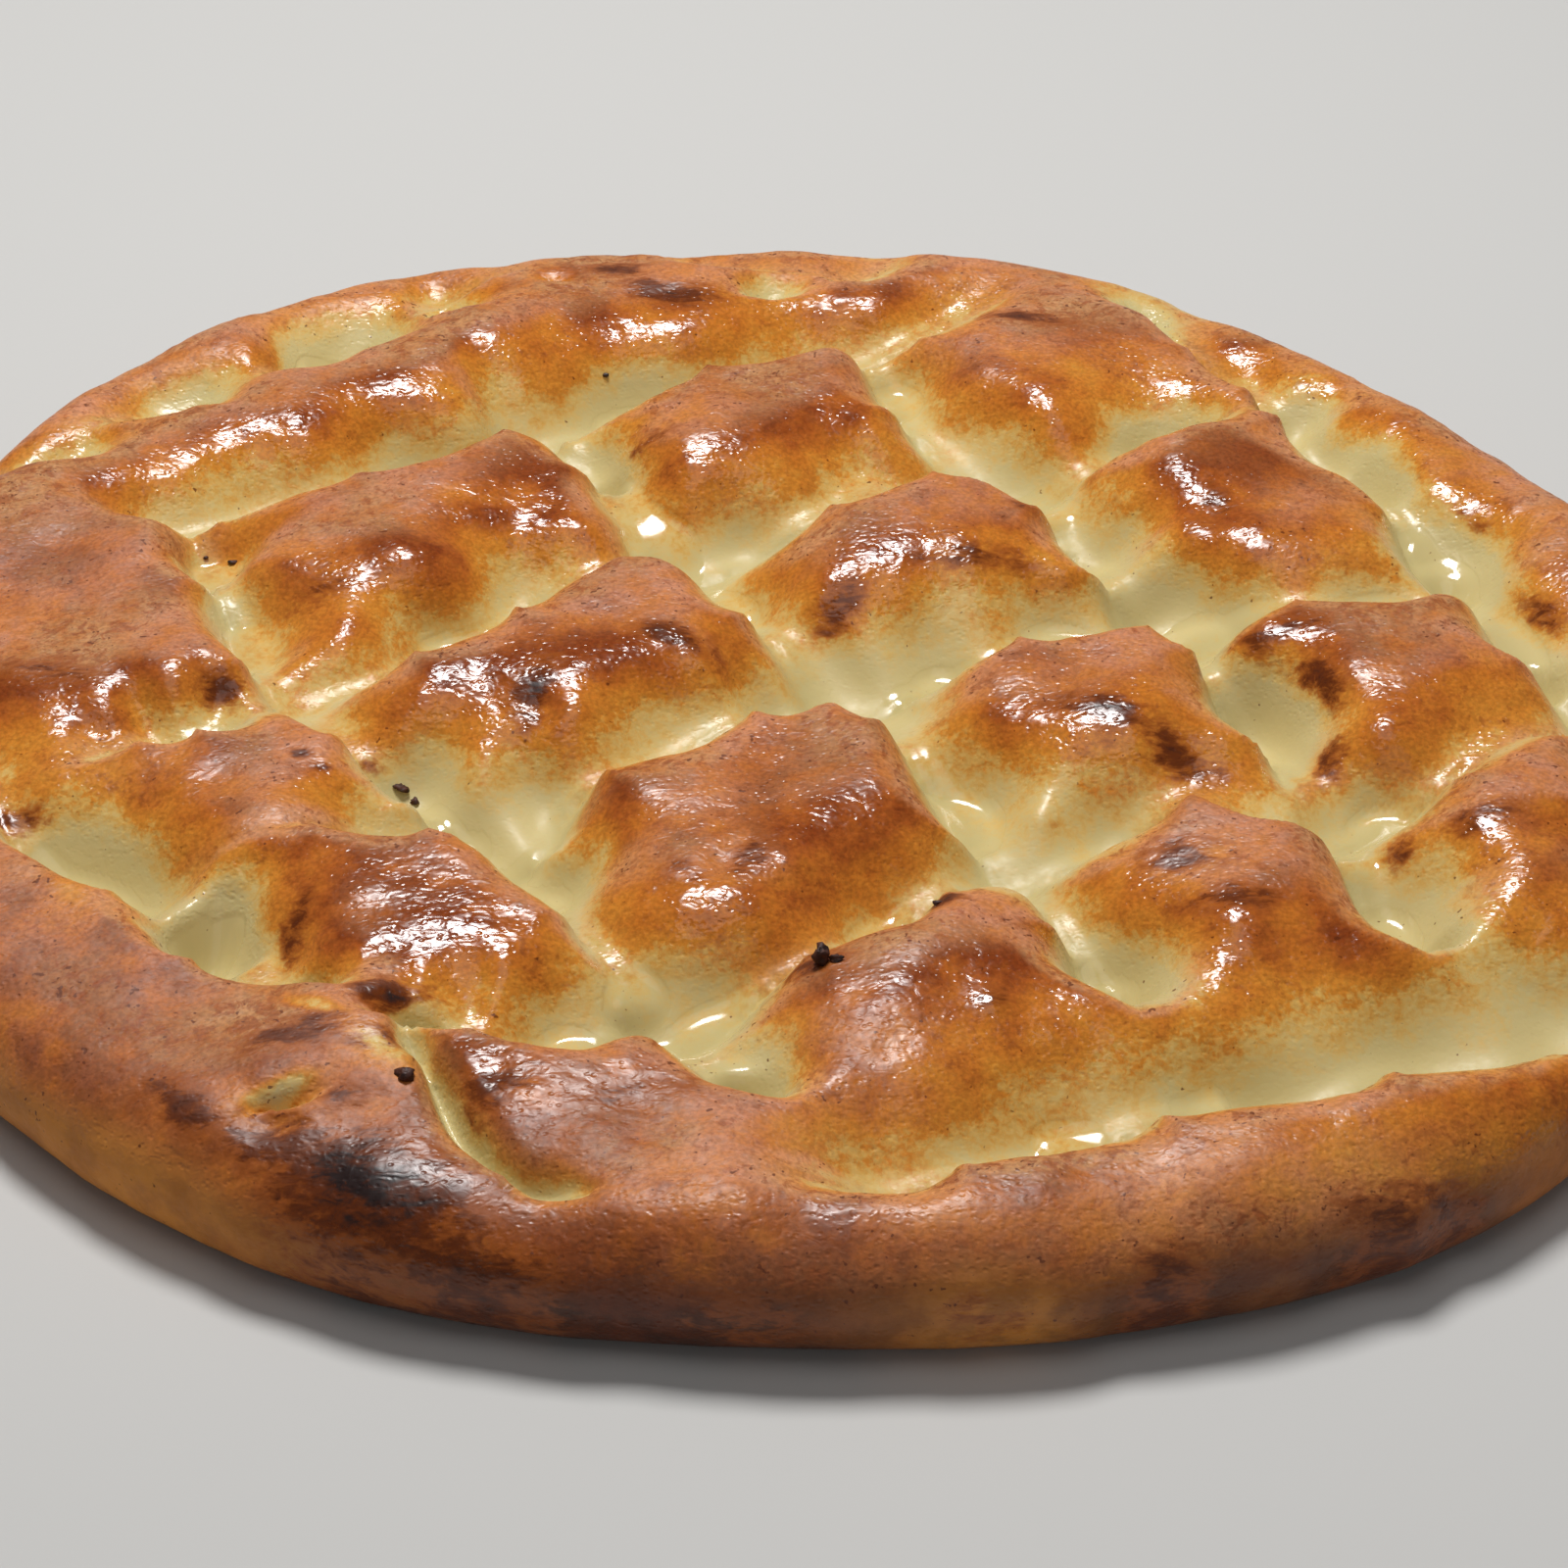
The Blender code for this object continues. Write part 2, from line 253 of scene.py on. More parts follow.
# Blisters and dents, as (x, y, radius, height)
BLISTERS = (
    (32, -91, 4.0, 1.0), (-8, -135, 6.0, 0.8), (-8, -135, 2.5, -1.1), (84, -137, 8.0, -2.2),
    (92, -129, 5.0, 1.0), (100, -124, 5.0, -0.8), (-60, -127, 8.0, 0.8), (48, -141, 6.0, -0.7),
    (2, -57, 7.0, 1.1), (-9, -58, 4.0, -0.7), (71, -72, 8.0, 1.2), (-40, -14, 4.0, -0.8),
    (-34, -14, 6.0, 0.9), (58, -24, 7.0, 1.0), (42, -35, 4.0, 0.9), (-95, -10, 5.0, -0.9),
    (92, -12, 4.0, -0.8), (99, -20, 7.0, 0.9), (120, 40, 5.0, -0.7), (-37, -112, 5.0, 0.7),
    (10, 19, 4.0, -0.7), (22, 22, 7.0, 0.8), (77, 42, 5.0, -0.7), (-22, 119, 5.0, -0.6),
    (-100, 30, 5.0, 0.6), (-66, 24, 8.0, 0.8), (-60, 17, 5.0, -0.6), (40, 88, 9.0, 0.7),
    (-12, 74, 6.0, 0.7), (4, 78, 5.0, -0.6), (-28, -120, 9.0, 0.8), (118, -56, 8.0, 0.9),
    (-34, -8, 11.0, 1.2), (5, -52, 11.0, 1.2), (56, -16, 11.0, 1.2),
    (34, 30, 11.0, 1.2), (80, 36, 11.0, 1.0), (-14, 70, 11.0, 1.0), (-66, 26, 11.0, 1.0),
    (-52, 112, 12.0, 0.9), (-92, 82, 12.0, 0.9), (-36, -62, 10.0, 1.0), (96, -4, 9.0, 1.0),
    (128, -52, 9.0, 1.0), (-68, -62, 11.0, 0.9), (50, 84, 11.0, 0.9),
    (8, -108, 8.0, 0.7), (-80, -44, 8.0, 0.8), (-92, -36, 5.0, -0.6),
)

# Unevenness of the crust, as (wavelength in millimetres, octaves, shift)
LUMPS = 21.0, 2, 3.7
DRIFT = 17.0, 2, 41.7
WRINKLES = 6.5, 3, 11.3
CRINKLES = 5.2, 2, 23.9
ZONES = 30.0, 2, 31.1

# How high each stands in millimetres on the floor of a press, and how much more on a pillow
LUMP_HEIGHT = 0.25, 0.60
WRINKLE_HEIGHT = 0.05, 0.30
CRINKLE_HEIGHT = 0.01, 0.15

# Wrinkles and crinkles are longer across the loaf and drift with the lumps. Calm zones have fewer.
WRINKLE_STRETCH, WRINKLE_DRIFT, CALM_WRINKLES = (0.75, 1, 1), 4, 0.35
CRINKLE_STRETCH, CRINKLE_DRIFT, CALM_CRINKLES = (0.65, 1, 1), 3, 0.15
CRINKLE_CREST, CRINKLE_STEEPNESS = 0.55, 2.2
ZONE_RANGE = -0.35, 0.45

# Creases and pools are smooth, blisters rise on open crust alone, and all relief fades at the foot
CREASE_SMOOTHING, POOL_SMOOTHING = 0.95, (0.1, 0.6)
BLISTER_OPENNESS = 0.1, 0.5
FOOT_HEIGHT = 7.0

# What counts as a pillow, as the rim's wall, as a press's lip and as a pillow's far side, which is
# dry and matte and whose colour carries painted sheen
PILLOW_OPENNESS = 0.25, 0.85
WALL_SLOPE, WALL_ROOM, FLOURY_WALL_RISE = (0.62, 0.10), (18, 11), 0.18
LIP_SLOPE, LIP_OPENNESS = (0.02, 0.45), (0.98, 0.80)
FAR_SLOPE, FAR_SLOPE_STRAY = (-0.18, 0.09), 0.10

# How much a ridge takes from a row's paleness, and the rim from its browning
RIDGE_BROWNING = 0.25
RUSSET_SHARE, RUSSET_ROOM = 0.17, (34, 16)

# Dry places that the glaze hardly reached, in the same way as the scorched ones
DRY_PLACES = (
    (-104, -86, 50, 17, -42, 1.00), (-67, -108, 20, 10, -32, 0.90), (-12, -122, 34, 14, 4, 0.80),
    (4, -100, 16, 9, 10, 0.60), (-122, 22, 26, 20, 10, 0.75), (-2, 134, 70, 9, 0, 0.85),
    (-110, 104, 50, 8, 42, 0.75), (104, 112, 50, 9, -48, 0.75), (66, -132, 50, 9, 9, 1.00),
    (0, -144, 40, 7, 0, 0.60), (36, 100, 22, 9, -5, 0.70), (96, 24, 12, 8, -20, 0.40),
    (146, 30, 46, 8, -78, 0.60), (-96, -26, 16, 10, 10, 0.40),
)

# Places that stayed pale, in the same way
PALE_PLACES = (
    (84, -138, 4, 3, 20, 0.80), (-74.5, -110, 6, 1.6, 25, 0.95), (-71, -93, 7, 2.0, -25, 0.65),
    (-59, -103, 6, 3.5, -35, 0.75), (-98, 20, 6, 4, 60, 0.60), (-112, -64, 9, 4, -42, 0.40),
)

# Stretches of the rim, as (direction, half width) in degrees: where its wall is red-brown and
# glazed and darkened on the front as painted shade, where it is floury, and where its top is less
# brown
RED_SHADED_WALLS = ((-98, 20), (-55, 9), (-72, 14))
FLOURY_WALLS = ((-78, 5), (-130, 12), (-152, 16), (-176, 14))
RUSSET_RIM = ((-58, 34),)

# Burnt crumbs, as (x, y, size, height share)
CRUMBS = (
    (6, -82, 3.0, 1.3), (8.0, -82.6, 1.8, 0.7), (-56, -108, 2.4, 0.8), (-64, -23, 2.4, 0.5),
    (-61.5, -24.5, 1.8, 0.5), (24, -68, 1.6, 0.4), (-34, 99, 1.2, 0.6), (-98, 37, 1.3, 0.6),
    (-103, 38, 1.0, 0.7),
)
CRUMB_SEED = 4
CRUMB_FINENESS = 3
CRUMB_WIDTHS, CRUMB_DEPTHS = (0.8, 1.2), (0.6, 0.9)
CRUMB_RAGGEDNESS, CRUMB_GRAIN, CRUMB_CORE = 0.75, 0.8, 0.5
CRUMB_LIFT = 0.25

# The colours that crust takes on as it browns, as (how brown, colour)
BAKING = (
    (0.22, "pale"), (0.38, "straw"), (0.49, "gold"), (0.60, "amber"), (0.76, "russet"),
    (0.90, "brown"), (1.00, "deep"),
)

# Grain of the crust's colours and skin, in spots to the metre
WIDE_GRAIN, PATCH_GRAIN, FINE_GRAIN, SKIN_GRAIN = 45, 150, 620, 1300
SPECKLE_GRAIN, FLECK_GRAIN, SPECK_GRAIN = 760, 330, 900
WALL_GRAIN, STREAK_GRAIN, WRINKLE_GRAIN, PORE_GRAIN = 85, 520, 620, 900

# Roughness of each finish
PRESS_ROUGHNESS, GLAZED_ROUGHNESS, POOL_ROUGHNESS = 0.46, 0.16, 0.12
MATTE_ROUGHNESS, DRY_ROUGHNESS, CHAR_ROUGHNESS = 0.45, 0.60, 0.36
WALL_ROUGHNESS, RED_WALL_ROUGHNESS = 0.68, 0.34
GLAZE_IOR = 1.43
SKIN_DEPTH = 0.2 * MM

# The stage. Each light is (name, place, width, watts).
FLOOR_REACH = 6
SKY_COLOUR, SKY_STRENGTH = (0.95, 0.97, 1, 1), 0.105
LIGHTS = (
    ("key_light", (-0.08, 0.36, 1.08), 0.34, 12.4),
    ("top_light", (0.0, -0.30, 1.15), 0.7, 1.5),
    ("fill_light", (0.2, -1.3, 0.9), 0.9, 1.0),
)
CAMERA_LENS, CAMERA_SENSOR = 90, 36
CAMERA_ELEVATION = math.radians(38)
CAMERA_DISTANCE = 650 * MM
CAMERA_TARGET = Vector((0.66, -26.24, 15)) * MM


# ---------------- shape of the loaf


def smooth_curve(points):
    """Points along a Catmull-Rom curve through the given ones, CURVE_STEPS to each span."""
    knots = np.array(points, float)
    knots = np.vstack((2 * knots[0] - knots[1], knots, 2 * knots[-1] - knots[-2]))
    t = np.arange(CURVE_STEPS)[:, None] / CURVE_STEPS
    spans = []
    for a, b, c, d in zip(knots, knots[1:], knots[2:], knots[3:]):
        spans.append(
            b + 0.5 * t * (c - a + t * (2 * a - 5 * b + 4 * c - d + t * (3 * (b - c) + d - a)))
        )
    spans.append(knots[-2][None])
    return np.vstack(spans)


def run_along(line):
    """How far along a line of (x, y) points each of them lies."""
    return np.append(0, np.hypot(*np.diff(line, axis=0).T).cumsum())


def press_row(course, depths):
    """The course of a row in even steps, as (x, y, depth) points."""
    line = smooth_curve(course)
    run = run_along(line)
    presses = np.array([int(digit) for digit in depths]) / DEEPEST
    spacing = np.linspace(0, run[-1], len(presses))
    depth_run, depth = smooth_curve(np.stack((spacing, presses), 1)).T
    steps = np.linspace(0, run[-1], 1 + math.ceil(run[-1] / ROW_STEP))
    columns = [np.interp(steps, run, line[:, 0]), np.interp(steps, run, line[:, 1])]
    return np.stack((*columns, np.interp(steps, depth_run, depth)), 1)


def outline_radius(direction):
    """The loaf's radius in each direction, in radians."""
    before = [(angle - FULL_TURN, radius) for angle, radius in OUTLINE[-2:]]
    after = [(angle + FULL_TURN, radius) for angle, radius in OUTLINE[:2]]
    curve = smooth_curve([*before, *OUTLINE, *after])
    return np.interp(np.degrees(direction) % FULL_TURN, curve[:, 0], curve[:, 1])


def edge_room(x, y):
    """How far inside the loaf's widest line each point is."""
    return outline_radius(np.arctan2(y, x)) - np.hypot(x, y)


def waves(x, y, length, seed):
    """Smooth unevenness of about -1 to 1: a sum of sine waves in seeded directions."""
    draw = np.random.default_rng(seed)
    total = 0
    for _ in range(WAVE_COUNT):
        heading, phase = draw.uniform(0, 2 * math.pi, 2)
        rate = 2 * math.pi / (length * draw.uniform(*WAVE_SPREAD))
        total = total + np.sin(rate * (x * math.cos(heading) + y * math.sin(heading)) + phase)
    return total / math.sqrt(WAVE_COUNT)


def row_distance(x, y, row):
    """Each point's distance to a row of presses, the row's depth where it is nearest, how far the
    point lies on the side that the fingers pushed towards, from -1 to 1, and its place along it."""
    start, along = row[:-1], np.diff(row, axis=0)
    length_squared = (along[:, :2] ** 2).sum(1)
    away_x, away_y = x[:, None] - start[:, 0], y[:, None] - start[:, 1]
    share = np.clip((away_x * along[:, 0] + away_y * along[:, 1]) / length_squared, 0, 1)
    away_x, away_y = away_x - share * along[:, 0], away_y - share * along[:, 1]
    distance = np.maximum(np.hypot(away_x, away_y), MM)
    nearest = distance.min(1)
    weight = (nearest[:, None] / distance) ** NEAREST_FAVOUR
    weight /= weight.sum(1)[:, None]
    depth = ((start[:, 2] + share * along[:, 2]) * weight).sum(1)
    pushed = ((away_x * PUSH_X + away_y * PUSH_Y) / distance * weight).sum(1)
    steps = np.append(0, np.sqrt(length_squared).cumsum())
    position = ((steps[:-1] + share * np.sqrt(length_squared)) * weight).sum(1)
    return nearest, np.clip(depth, 0, 1), pushed, position


def pools_near(position, pools, row):
    """How much glaze has pooled at each place along a row, from 0 to 1, and the row's depth in the
    middle of that pool."""
    run = run_along(row[:, :2])
    total, depth = np.zeros((2, len(position)))
    for middle, reach in pools:
        share = rise(POOL_END, POOL_FULL, np.abs(position - middle) / reach)
        depth = np.where(share > total, np.interp(middle, run, row[:, 2]), depth)
        total = np.maximum(total, share)
    return total, np.clip(depth, 0, 1) ** PRESS_CONTRAST


def scallop(position, ridges):
    """0 at the ridges between presses, and 1 in the middle of each press."""
    share = np.interp(position, ridges, np.arange(len(ridges))) % 1
    return (1 - (2 * share - 1) ** 2) ** SCALLOP_ROUNDNESS


def scoops(position, ridges):
    """As scallop, but in smooth waves."""
    share = np.interp(position, ridges, np.arange(len(ridges))) % 1
    return 0.5 - 0.5 * np.cos(2 * math.pi * share)


def dent_field(x, y):
    """How much of the full depth the single dents take from each point, and how pale they leave it.
    Their pushed sides are steep, as in the rows."""
    total, bare = np.zeros(len(x)), np.zeros(len(x))
    for cx, cy, length, width, turn, depth in DENTS:
        along, across = turned(x, y, cx, cy, turn)
        distance = np.maximum(np.hypot(x - cx, y - cy), MM)
        pushed = ((x - cx) * PUSH_X + (y - cy) * PUSH_Y) / distance
        pushed = pushed * rise(0, DENT_HEART * width, distance)
        brim = np.hypot(along / length, across / width) / (1 - DENT_PUSH * pushed)
        share = 1 / (1 + brim**2) ** 2
        sharp = DENT_SHARPNESS * np.clip(pushed, 0, 1)
        share = np.maximum(share - sharp, 0) / (1 - sharp)
        total = np.maximum(total, depth * share)
        bare = np.maximum(bare, depth**BARE_POWER * share)
    return total, bare


def soft_least(first, second, softness):
    """The lesser of two levels, with a rounded change from one to the other."""
    blend = np.clip(0.5 + 0.5 * (second - first) / softness, 0, 1)
    return second + (first - second) * blend - softness * blend * (1 - blend)


def press_field(x, y):
    """For each point: openness, 1 on top of the pillows and 0 on the floor of a full press; how
    near it is to the bottom of a crease; how much glaze has pooled there; how much of a ridge
    between two presses it is; and how much a shallow dent has kept it pale."""
    x = x + LINE_STRAY * waves(x, y, LINE_WAVE, LINE_SEED_X)
    y = y + LINE_STRAY * waves(x, y, LINE_WAVE, LINE_SEED_Y)
    openness, crease, pool, ridge, bare = np.ones(len(x)), *np.zeros((4, len(x)))
    for name, (width_share, depths, course) in PRESS_ROWS.items():
        row = press_row(course, depths)
        length = np.hypot(*np.diff(row[:, :2], axis=0).T).sum()
        ridges = np.array([0, *RIDGES.get(name, ()), length])
        for first in range(0, len(x), CHUNK):
            some = slice(first, first + CHUNK)
            distance, depth, pushed, position = row_distance(x[some], y[some], row)
            depth = np.maximum(depth, MM) ** PRESS_CONTRAST
            if name in EVEN_ROWS:
                pushed = pushed * EVEN_PUSH
            steep, gentle = np.clip(pushed, 0, 1), rise(GENTLE_SIDE, -GENTLE_SIDE, pushed)
            scoop = scoops(position, ridges)
            near = np.exp(-((distance / RIDGE_FADE) ** 2))
            wave = near * scoop + (1 - near) * SCOOP_MEAN
            dent = gentle * wave + (1 - gentle) * scallop(position, ridges)
            width = width_share * (PRESS_WIDTH + DEEP_PRESS_EXTRA * depth)
            width = width * (1 - PUSH_SHARE * pushed)
            width = width * (RIDGE_WIDTH + (DENT_WIDTH - RIDGE_WIDTH) * dent)
            depth = depth * (RIDGE_DEPTH + (1 - RIDGE_DEPTH) * dent)
            flat = FLOOR_WIDTH * np.clip(-pushed, 0, 1) * width_share
            away = np.sqrt(distance**2 + flat**2) - flat
            press = depth / (1 + (away / width) ** 2) ** PRESS_FALL
            pooled, pool_depth = pools_near(position, POOLS.get(name, ()), row)
            level = pool_depth * (1 - POOL_SHARE)
            level = np.minimum(depth, depth + (level - depth) * pooled)
            wet = rise(level - POOL_EDGE[0], level - POOL_EDGE[1], press)
            pool[some] = np.maximum(pool[some], pooled * depth * wet)
            press = soft_least(press, level, POOL_SHORE)
            sharp = LIP_SHARPNESS * steep
            openness[some] *= 1 - np.maximum(press - sharp * depth, 0) / (1 - sharp)
            low = depth * np.exp(-((distance / CREASE_WIDTH) ** 2))
            crease[some] = np.maximum(crease[some], low)
            if name in EVEN_ROWS:
                bare[some] = np.maximum(bare[some], press * depth ** (BARE_POWER - 1))
            low = depth * (1 - scoop) * np.exp(-((distance / RIDGE_REACH) ** 2))
            ridge[some] = np.maximum(ridge[some], low)
    dents, bare_dents = dent_field(x, y)
    openness = soft_least(openness, 1 - dents, DENT_SHORE)
    pool *= rise(*POOL_OPENNESS, openness)
    return openness, crease, pool, ridge, np.maximum(bare, bare_dents)


def top_height(x, y, sizes):
    """Height of the upper surface over a point, before it rolls down at the rim."""
    rim_top, pillow_top, floor = sizes.rim_top / MM, sizes.pillow_top / MM, sizes.valley_floor / MM
    inward = np.clip(edge_room(x, y) / DOMING_REACH, 0, 1)
    full = rim_top + (pillow_top - rim_top) * np.sin(inward * math.pi / 2)
    full = full + SURFACE_STRAY * waves(x, y, SURFACE_WAVE, SURFACE_SEED)
    return floor + (full - floor) * press_field(x, y)[0]


def disc_from_square(u, v):
    """Takes a square of side 2 to a disc of radius 1, as (direction, share of the radius)."""
    x, y = u * np.sqrt(1 - v * v / 2), v * np.sqrt(1 - u * u / 2)
    return np.arctan2(y, x) + GRID_HEADING, np.hypot(x, y)


def rim_point(direction, angle, sizes):
    """A ring of the rim: angle is pi/2 at the crest, 0 at the widest line and -pi/2 at the foot."""
    inset = (CREST_INSET if angle > 0 else FOOT_INSET) * (1 - math.cos(angle))
    radius = outline_radius(direction) - inset
    x, y = radius * np.cos(direction), radius * np.sin(direction)
    if angle > 0:
        z = WIDEST_LEVEL + (top_height(x, y, sizes) - WIDEST_LEVEL) * math.sin(angle)
    else:
        z = np.full(len(x), WIDEST_LEVEL * (1 + math.sin(angle)))
    return np.stack((x, y, z), 1)


def place(vertices, points):
    """Moves each vertex to its point."""
    for vertex, point in zip(vertices, points):
        vertex.co = point


def shape_top(bm, sizes):
    """Presses a flat square grid into the loaf's round upper surface."""
    flat = np.array([vertex.co[:2] for vertex in bm.verts])
    direction, share = disc_from_square(*flat.T)
    radius = share * (outline_radius(direction) - CREST_INSET)
    x, y = radius * np.cos(direction), radius * np.sin(direction)
    place(bm.verts, np.stack((x, y, top_height(x, y, sizes)), 1))


def roll_rim(bm, sizes):
    """Extrudes the grid's border ring by ring round the rim and down to the foot."""
    angles = [math.pi / 2 * (1 - step / CREST_STEPS) for step in range(1, CREST_STEPS + 1)]
    angles += [-math.pi / 2 * step / FOOT_STEPS for step in range(1, FOOT_STEPS + 1)]
    border = [edge for edge in bm.edges if edge.is_boundary]
    for angle in angles:
        made = bmesh.ops.extrude_edge_only(bm, edges=border)["geom"]
        ring = [part for part in made if isinstance(part, bmesh.types.BMVert)]
        border = [part for part in made if isinstance(part, bmesh.types.BMEdge)]
        direction = np.array([math.atan2(vertex.co.y, vertex.co.x) for vertex in ring])
        place(ring, rim_point(direction, angle, sizes))
    bmesh.ops.holes_fill(bm, edges=border, sides=0)


def loaf_mesh(name, sizes):
    """The loaf's whole surface in millimetres."""
    bm = bmesh.new()
    bmesh.ops.create_grid(bm, x_segments=sizes.top_cells, y_segments=sizes.top_cells, size=1)
    shape_top(bm, sizes)
    roll_rim(bm, sizes)
    bmesh.ops.recalc_face_normals(bm, faces=bm.faces)
    mesh = bpy.data.meshes.new(name)
    bm.to_mesh(mesh)
    bm.free()
    mesh.shade_smooth()
    return mesh


# ---------------- relief and marks of the crust


def mesh_array(mesh, what):
    """The vertices' places or normals, one row each."""
    values = np.empty(3 * len(mesh.vertices), np.float32)
    mesh.vertices.foreach_get(what, values)
    return values.reshape(-1, 3).astype(float)


def rise(low, high, value):
    """0 below low, 1 above high and smooth between. With high below low it falls instead."""
    share = np.clip((value - low) / (high - low), 0, 1)
    return share * share * (3 - 2 * share)


def rough_field(points, wavelength, octaves, shift):
    """Fractal unevenness of about -1 to 1."""
    scaled = points / wavelength + shift
    return np.array([noise.fractal(point, 0.9, 2.1, octaves) for point in scaled.tolist()])


def turned(x, y, centre_x, centre_y, turn):
    """Coordinates about a centre, along and across a heading in degrees."""
    c, s = math.cos(math.radians(turn)), math.sin(math.radians(turn))
    dx, dy = x - centre_x, y - centre_y
    return dx * c + dy * s, dy * c - dx * s


def strongest(x, y, places):
    """The strongest of some elliptical places at each point."""
    total = np.zeros(len(x))
    for cx, cy, length, width, turn, strength in places:
        along, across = turned(x, y, cx, cy, turn)
        share = np.exp(-((along / length) ** 2) - (across / width) ** 2)
        total = np.maximum(total, strength * share)
    return total


def blister_field(x, y):
    """How far the blisters lift each point and the dents lower it, in millimetres."""
    total = np.zeros(len(x))
    for cx, cy, radius, height in BLISTERS:
        total += height * np.exp(-((x - cx) ** 2 + (y - cy) ** 2) / (0.5 * radius * radius))
    return total


def wall_share(x, y, stretches):
    """How much each point belongs to some stretches of the rim, from 0 to 1."""
    total = np.zeros(len(x))
    heading = np.degrees(np.arctan2(y, x))
    for middle, reach in stretches:
        away = (heading - middle + FULL_TURN / 2) % FULL_TURN - FULL_TURN / 2
        total = np.maximum(total, np.exp(-((away / reach) ** 2)))
    return total


def finish_crust(mesh):
    """Adds the crust's lumps, wrinkles, blisters and dents, and keeps what the material needs to
    know of each point."""
    points, normals = mesh_array(mesh, "co"), mesh_array(mesh, "normal")
    x, y, z = points.T
    openness, crease, pool, ridge, bare = press_field(x, y)
    room = edge_room(x, y)
    floury = wall_share(x, y, FLOURY_WALLS)
    kept_pale = strongest(x, y, PALE_PLACES)
    side = rise(*WALL_SLOPE, normals[:, 2] - FLOURY_WALL_RISE * floury) * rise(*WALL_ROOM, room)
    standing = rise(0.0, FOOT_HEIGHT, z)
    pillow = rise(*PILLOW_OPENNESS, openness)

    lumps = rough_field(points, *LUMPS)
    drift = np.stack((lumps, rough_field(points, *DRIFT), 0 * lumps), 1)
    wrinkles = rough_field((points + WRINKLE_DRIFT * drift) * WRINKLE_STRETCH, *WRINKLES)
    crinkles = rough_field((points + CRINKLE_DRIFT * drift) * CRINKLE_STRETCH, *CRINKLES)
    crinkles = CRINKLE_CREST - CRINKLE_STEEPNESS * np.abs(crinkles)
    zones = rise(*ZONE_RANGE, rough_field(points, *ZONES))
    wrinkly = CALM_WRINKLES + (1 - CALM_WRINKLES) * zones
    crinkly = CALM_CRINKLES + (1 - CALM_CRINKLES) * zones
    relief = (LUMP_HEIGHT[0] + LUMP_HEIGHT[1] * pillow) * lumps
    relief += (WRINKLE_HEIGHT[0] + WRINKLE_HEIGHT[1] * pillow * wrinkly) * wrinkles
    relief += (CRINKLE_HEIGHT[0] + CRINKLE_HEIGHT[1] * pillow * crinkly) * crinkles
    relief += blister_field(x, y) * rise(*BLISTER_OPENNESS, openness)
    relief *= 1 - CREASE_SMOOTHING * np.maximum(crease, rise(*POOL_SMOOTHING, pool))
    points += normals * (relief * standing)[:, None]

    # A pillow's far side faces +Y, and the material gives it a paler tan as painted sheen
    far = rise(*FAR_SLOPE, normals[:, 1] + FAR_SLOPE_STRAY * lumps)
    lip = rise(*LIP_SLOPE, normals[:, 1]) * rise(*LIP_OPENNESS, openness) * (1 - side)
    russet = RUSSET_SHARE * rise(*RUSSET_ROOM, room) * wall_share(x, y, RUSSET_RIM)
    layers = {
        "openness": openness * (1 - russet),
        "bareness": np.clip(np.maximum(bare - RIDGE_BROWNING * ridge, kept_pale), -1, 1),
        "red_shaded_wall": wall_share(x, y, RED_SHADED_WALLS),
        "floury": floury,
        "dry": strongest(x, y, DRY_PLACES),
        # The crease mark is where the material paints shade into the colour
        "crease": crease,
        "pool": pool,
        "scorch": strongest(x, y, SCORCHES),
        "side": side * (1 - kept_pale),
        "lip": lip,
        "matte": far * pillow,
        "relief": 0.5 + 0.35 * wrinkles + 0.25 * lumps,
    }
    for name, values in layers.items():
        layer = mesh.attributes.new(name, "FLOAT", "POINT")
        layer.data.foreach_set("value", values.astype(np.float32))
    mesh.vertices.foreach_set("co", fit_to_box(points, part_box(NODE)).ravel())
    mesh.update()


def fit_to_box(points, box):
    """Brings points in millimetres into a box in metres, centred and standing on its floor."""
    low, high = np.array(box[0]), np.array(box[1])
    spread = np.ptp(points, axis=0)
    share = np.minimum((high - low) / (spread * MM), 1)
    middle = (points.min(0) + points.max(0)) / 2
    middle[2] = points[:, 2].min()
    goal = (low + high) / 2
    goal[2] = low[2]
    return ((points - middle) * share * MM + goal).astype(np.float32)


# ---------------- materials


def add_node(tree, kind, sockets=None, **settings):
    """Adds a shader node. A socket's value is a number, a colour, or the output that feeds it."""
    made = tree.nodes.new("ShaderNode" + kind)
    for name, value in settings.items():
        setattr(made, name, value)
    for name, value in (sockets or {}).items():
        if isinstance(value, bpy.types.NodeSocket):
            tree.links.new(value, made.inputs[name])
        else:
            made.inputs[name].default_value = value
    return made


def new_material(name):
    """A material with its node tree and its shader."""
    material = bpy.data.materials.new(name)
    material.use_nodes = True
    tree = material.node_tree
    return material, tree, tree.nodes["Principled BSDF"]


def marks(tree, *names):
    """Some of the marks that the mesh keeps of each point."""
    return [add_node(tree, "Attribute", attribute_name=name).outputs["Fac"] for name in names]


def reckon(tree, operation, *numbers, clamp=False):
    """Reckons with numbers."""
    sockets = dict(enumerate(numbers))
    return add_node(tree, "Math", sockets, operation=operation, use_clamp=clamp).outputs[0]


def plus(tree, *numbers):
    return reckon(tree, "ADD", *numbers)


def times(tree, *numbers):
    return reckon(tree, "MULTIPLY", *numbers)


def times_plus(tree, *numbers):
    return reckon(tree, "MULTIPLY_ADD", *numbers)


def grade(tree, value, low, high, to_low=0.0, to_high=1.0):
    """Takes one range of a value smoothly to another, and holds it beyond both ends."""
    sockets = dict(enumerate((value, low, high, to_low, to_high)))
    return add_node(tree, "MapRange", sockets, interpolation_type="SMOOTHSTEP").outputs[0]


def grain(tree, spot, scale, detail=3.0, rough=0.55, warp=0.0):
    """Cloudy grain of about 0.3 to 0.7, with a scale in spots to the metre."""
    sockets = {"Vector": spot, "Scale": scale, "Detail": detail}
    sockets |= {"Roughness": rough, "Distortion": warp}
    return add_node(tree, "TexNoise", sockets).outputs["Fac"]


